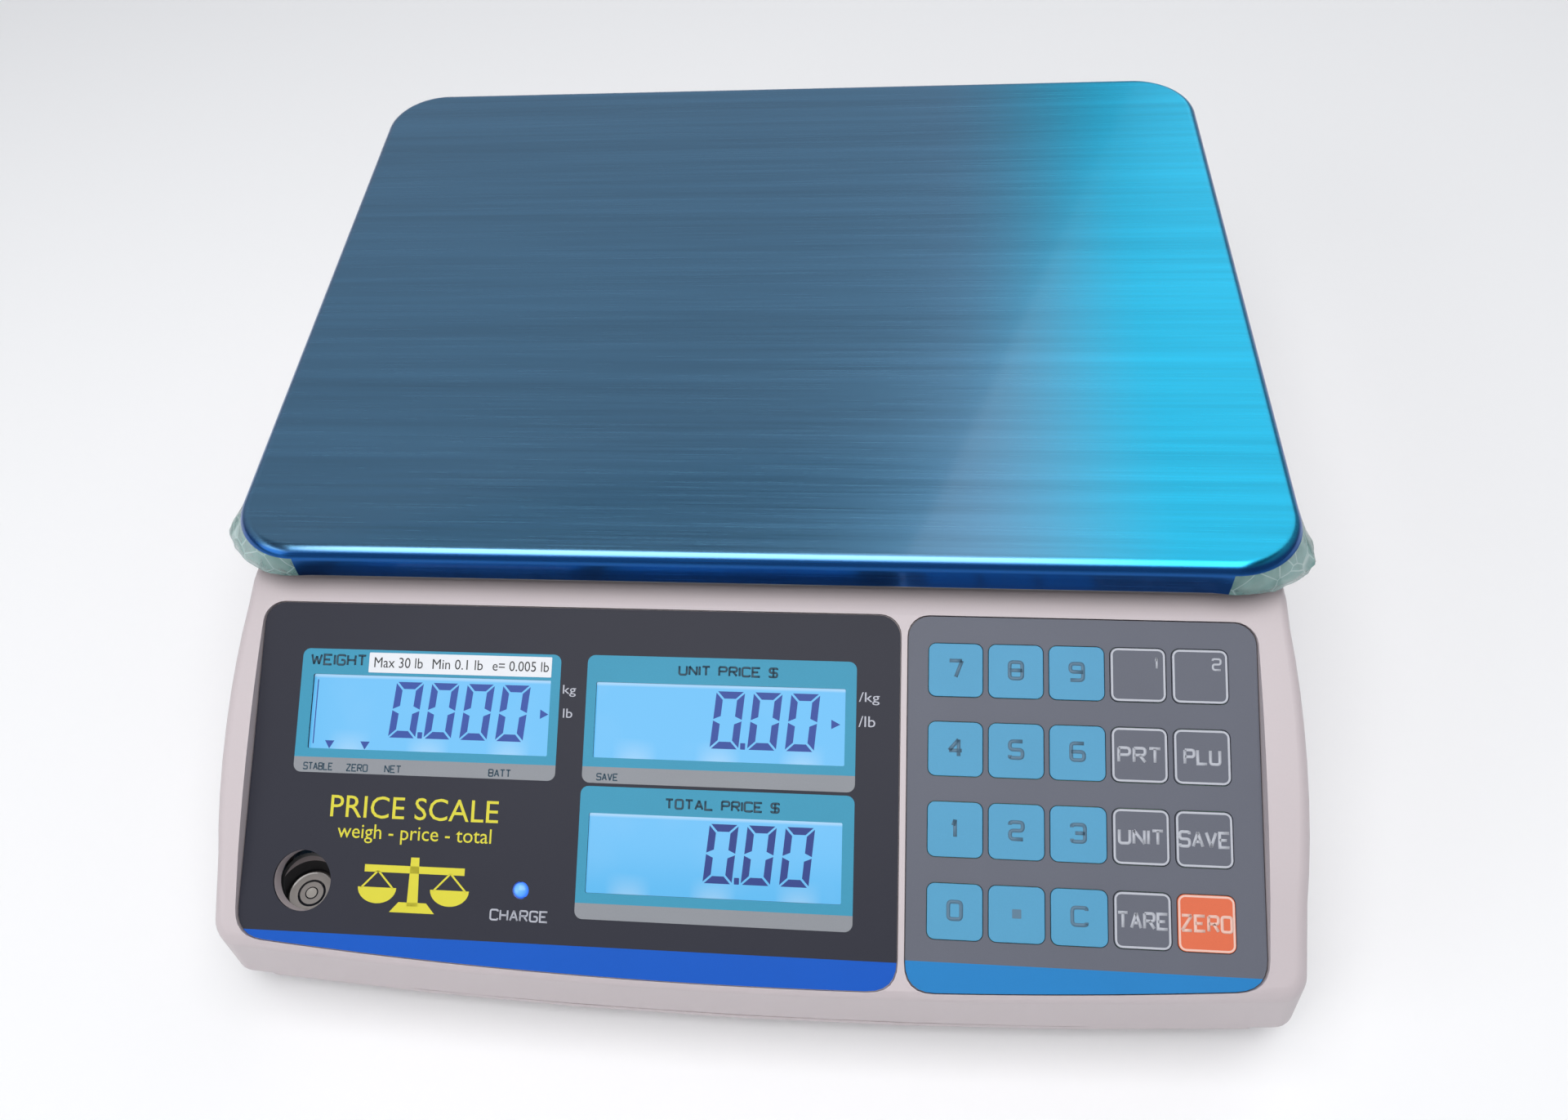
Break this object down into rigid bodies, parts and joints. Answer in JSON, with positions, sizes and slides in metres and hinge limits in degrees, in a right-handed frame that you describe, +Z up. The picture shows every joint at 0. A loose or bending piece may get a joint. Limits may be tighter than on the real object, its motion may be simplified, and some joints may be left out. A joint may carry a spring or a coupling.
{
  "type": "price computing scale",
  "caption": "Countertop price computing scale with a film-covered stainless platter, sloped panel with three lit displays and a key pad, and a port for a label printer.",
  "frame": {"origin": "on the supporting surface, under the middle of the bounding box", "axes": "+X to the operator's right, +Y from the operator to the rear, +Z up"},
  "size_m": [0.304, 0.3282, 0.1085],
  "materials": {
    "brushed_platter": "brushed stainless under blue film",
    "protective_film": "clear blue tinted film, crumpled",
    "case_plastic": "fine moulded texture",
    "level_cup": "moulded",
    "overlay_film": "printed film, fine matte grain",
    "digit_key": "printed, softly domed",
    "function_key": "printed, softly domed",
    "zero_key": "printed, softly domed",
    "display_glass": "backlit glass",
    "circuit_board": "solder mask",
    "charge_lamp": "lit lens",
    "level_vial": "clear vial with liquid",
    "cast_aluminium": "machined",
    "zinc_plate": "bright zinc",
    "rubber": "moulded",
    "dark_plastic": "moulded"
  },
  "bodies": {
    "case": {"upper_case": "case_plastic", "lower_case": "case_plastic", "battery_cover": "case_plastic", "level_cup": "level_cup", "display_overlay": "overlay_film", "keypad_overlay": "overlay_film", "weight_lcd": "display_glass", "unit_price_lcd": "display_glass", "total_price_lcd": "display_glass", "keypad_circuit": "circuit_board", "display_board": "circuit_board", "main_board": "circuit_board", "power_board": "circuit_board", "charge_led": "charge_lamp", "level_vial": "level_vial", "load_cell": "cast_aluminium", "load_cell_base": "cast_aluminium", "overload_stop": "zinc_plate", "serial_port": "zinc_plate", "battery": "dark_plastic", "transformer": "dark_plastic", "switch_frame": "dark_plastic", "power_inlet": "dark_plastic"},
    "spider": {"platter_spider": "cast_aluminium", "platter_pad_front_left": "rubber", "platter_pad_front_right": "rubber", "platter_pad_rear_left": "rubber", "platter_pad_rear_right": "rubber"},
    "platter": {"platter": "brushed_platter", "protective_film": "protective_film"},
    "key_7": {"key_7": "digit_key"},
    "key_8": {"key_8": "digit_key"},
    "key_9": {"key_9": "digit_key"},
    "key_f1": {"key_f1": "function_key"},
    "key_f2": {"key_f2": "function_key"},
    "key_4": {"key_4": "digit_key"},
    "key_5": {"key_5": "digit_key"},
    "key_6": {"key_6": "digit_key"},
    "key_print": {"key_print": "function_key"},
    "key_plu": {"key_plu": "function_key"},
    "key_1": {"key_1": "digit_key"},
    "key_2": {"key_2": "digit_key"},
    "key_3": {"key_3": "digit_key"},
    "key_unit": {"key_unit": "function_key"},
    "key_save": {"key_save": "function_key"},
    "key_0": {"key_0": "digit_key"},
    "key_point": {"key_point": "digit_key"},
    "key_clear": {"key_clear": "digit_key"},
    "key_tare": {"key_tare": "function_key"},
    "key_zero": {"key_zero": "zero_key"},
    "rocker": {"switch_rocker": "dark_plastic"},
    "foot_stud_front_left": {"foot_stud_front_left": "zinc_plate"},
    "foot_pad_front_left": {"foot_pad_front_left": "rubber"},
    "foot_stud_front_right": {"foot_stud_front_right": "zinc_plate"},
    "foot_pad_front_right": {"foot_pad_front_right": "rubber"},
    "foot_stud_rear_left": {"foot_stud_rear_left": "zinc_plate"},
    "foot_pad_rear_left": {"foot_pad_rear_left": "rubber"},
    "foot_stud_rear_right": {"foot_stud_rear_right": "zinc_plate"},
    "foot_pad_rear_right": {"foot_pad_rear_right": "rubber"}
  },
  "joints": [
    {"name": "weighing_travel", "type": "slide", "parent": "case", "child": "spider", "axis": [0, 0, -1], "range_m": [0, 0.00025], "stiffness_N_per_m": 20000, "springref_m": -0.0005},
    {"name": "platter_lift_off", "type": "slide", "parent": "spider", "child": "platter", "axis": [0, 0, 1], "range_m": [0, 0.06]},
    {"name": "key_7_press", "type": "slide", "parent": "case", "child": "key_7", "axis": [0, 0.4587, -0.8886], "range_m": [0, 0.00025], "stiffness_N_per_m": 600, "springref_m": -0.0002},
    {"name": "key_8_press", "type": "slide", "parent": "case", "child": "key_8", "axis": [0, 0.4587, -0.8886], "range_m": [0, 0.00025], "stiffness_N_per_m": 600, "springref_m": -0.0002},
    {"name": "key_9_press", "type": "slide", "parent": "case", "child": "key_9", "axis": [0, 0.4587, -0.8886], "range_m": [0, 0.00025], "stiffness_N_per_m": 600, "springref_m": -0.0002},
    {"name": "key_f1_press", "type": "slide", "parent": "case", "child": "key_f1", "axis": [0, 0.4587, -0.8886], "range_m": [0, 0.00025], "stiffness_N_per_m": 600, "springref_m": -0.0002},
    {"name": "key_f2_press", "type": "slide", "parent": "case", "child": "key_f2", "axis": [0, 0.4587, -0.8886], "range_m": [0, 0.00025], "stiffness_N_per_m": 600, "springref_m": -0.0002},
    {"name": "key_4_press", "type": "slide", "parent": "case", "child": "key_4", "axis": [0, 0.4587, -0.8886], "range_m": [0, 0.00025], "stiffness_N_per_m": 600, "springref_m": -0.0002},
    {"name": "key_5_press", "type": "slide", "parent": "case", "child": "key_5", "axis": [0, 0.4587, -0.8886], "range_m": [0, 0.00025], "stiffness_N_per_m": 600, "springref_m": -0.0002},
    {"name": "key_6_press", "type": "slide", "parent": "case", "child": "key_6", "axis": [0, 0.4587, -0.8886], "range_m": [0, 0.00025], "stiffness_N_per_m": 600, "springref_m": -0.0002},
    {"name": "key_print_press", "type": "slide", "parent": "case", "child": "key_print", "axis": [0, 0.4587, -0.8886], "range_m": [0, 0.00025], "stiffness_N_per_m": 600, "springref_m": -0.0002},
    {"name": "key_plu_press", "type": "slide", "parent": "case", "child": "key_plu", "axis": [0, 0.4587, -0.8886], "range_m": [0, 0.00025], "stiffness_N_per_m": 600, "springref_m": -0.0002},
    {"name": "key_1_press", "type": "slide", "parent": "case", "child": "key_1", "axis": [0, 0.4587, -0.8886], "range_m": [0, 0.00025], "stiffness_N_per_m": 600, "springref_m": -0.0002},
    {"name": "key_2_press", "type": "slide", "parent": "case", "child": "key_2", "axis": [0, 0.4587, -0.8886], "range_m": [0, 0.00025], "stiffness_N_per_m": 600, "springref_m": -0.0002},
    {"name": "key_3_press", "type": "slide", "parent": "case", "child": "key_3", "axis": [0, 0.4587, -0.8886], "range_m": [0, 0.00025], "stiffness_N_per_m": 600, "springref_m": -0.0002},
    {"name": "key_unit_press", "type": "slide", "parent": "case", "child": "key_unit", "axis": [0, 0.4587, -0.8886], "range_m": [0, 0.00025], "stiffness_N_per_m": 600, "springref_m": -0.0002},
    {"name": "key_save_press", "type": "slide", "parent": "case", "child": "key_save", "axis": [0, 0.4587, -0.8886], "range_m": [0, 0.00025], "stiffness_N_per_m": 600, "springref_m": -0.0002},
    {"name": "key_0_press", "type": "slide", "parent": "case", "child": "key_0", "axis": [0, 0.4587, -0.8886], "range_m": [0, 0.00025], "stiffness_N_per_m": 600, "springref_m": -0.0002},
    {"name": "key_point_press", "type": "slide", "parent": "case", "child": "key_point", "axis": [0, 0.4587, -0.8886], "range_m": [0, 0.00025], "stiffness_N_per_m": 600, "springref_m": -0.0002},
    {"name": "key_clear_press", "type": "slide", "parent": "case", "child": "key_clear", "axis": [0, 0.4587, -0.8886], "range_m": [0, 0.00025], "stiffness_N_per_m": 600, "springref_m": -0.0002},
    {"name": "key_tare_press", "type": "slide", "parent": "case", "child": "key_tare", "axis": [0, 0.4587, -0.8886], "range_m": [0, 0.00025], "stiffness_N_per_m": 600, "springref_m": -0.0002},
    {"name": "key_zero_press", "type": "slide", "parent": "case", "child": "key_zero", "axis": [0, 0.4587, -0.8886], "range_m": [0, 0.00025], "stiffness_N_per_m": 600, "springref_m": -0.0002},
    {"name": "power_switch_rock", "type": "hinge", "parent": "case", "child": "rocker", "pos_m": [0.1464, 0.01, 0.04], "axis": [0, 0, 1], "range_deg": [-14, 0]},
    {"name": "foot_climb_front_left", "type": "slide", "parent": "case", "child": "foot_stud_front_left", "axis": [0, 0, -1], "range_m": [0, 0.008]},
    {"name": "foot_turn_front_left", "type": "hinge", "parent": "foot_stud_front_left", "child": "foot_pad_front_left", "pos_m": [-0.128, -0.135, 0.004], "axis": [0, 0, -1], "range_deg": [0, 2916]},
    {"name": "foot_climb_front_right", "type": "slide", "parent": "case", "child": "foot_stud_front_right", "axis": [0, 0, -1], "range_m": [0, 0.008]},
    {"name": "foot_turn_front_right", "type": "hinge", "parent": "foot_stud_front_right", "child": "foot_pad_front_right", "pos_m": [0.128, -0.135, 0.004], "axis": [0, 0, -1], "range_deg": [0, 2916]},
    {"name": "foot_climb_rear_left", "type": "slide", "parent": "case", "child": "foot_stud_rear_left", "axis": [0, 0, -1], "range_m": [0, 0.008]},
    {"name": "foot_turn_rear_left", "type": "hinge", "parent": "foot_stud_rear_left", "child": "foot_pad_rear_left", "pos_m": [-0.128, 0.14, 0.004], "axis": [0, 0, -1], "range_deg": [0, 2916]},
    {"name": "foot_climb_rear_right", "type": "slide", "parent": "case", "child": "foot_stud_rear_right", "axis": [0, 0, -1], "range_m": [0, 0.008]},
    {"name": "foot_turn_rear_right", "type": "hinge", "parent": "foot_stud_rear_right", "child": "foot_pad_rear_right", "pos_m": [0.128, 0.14, 0.004], "axis": [0, 0, -1], "range_deg": [0, 2916]}
  ],
  "couplings": [
    {"joint": "foot_turn_front_left", "follows": "foot_climb_front_left", "rad_per_m": 6283.2},
    {"joint": "foot_turn_front_right", "follows": "foot_climb_front_right", "rad_per_m": 6283.2},
    {"joint": "foot_turn_rear_left", "follows": "foot_climb_rear_left", "rad_per_m": 6283.2},
    {"joint": "foot_turn_rear_right", "follows": "foot_climb_rear_right", "rad_per_m": 6283.2}
  ]
}
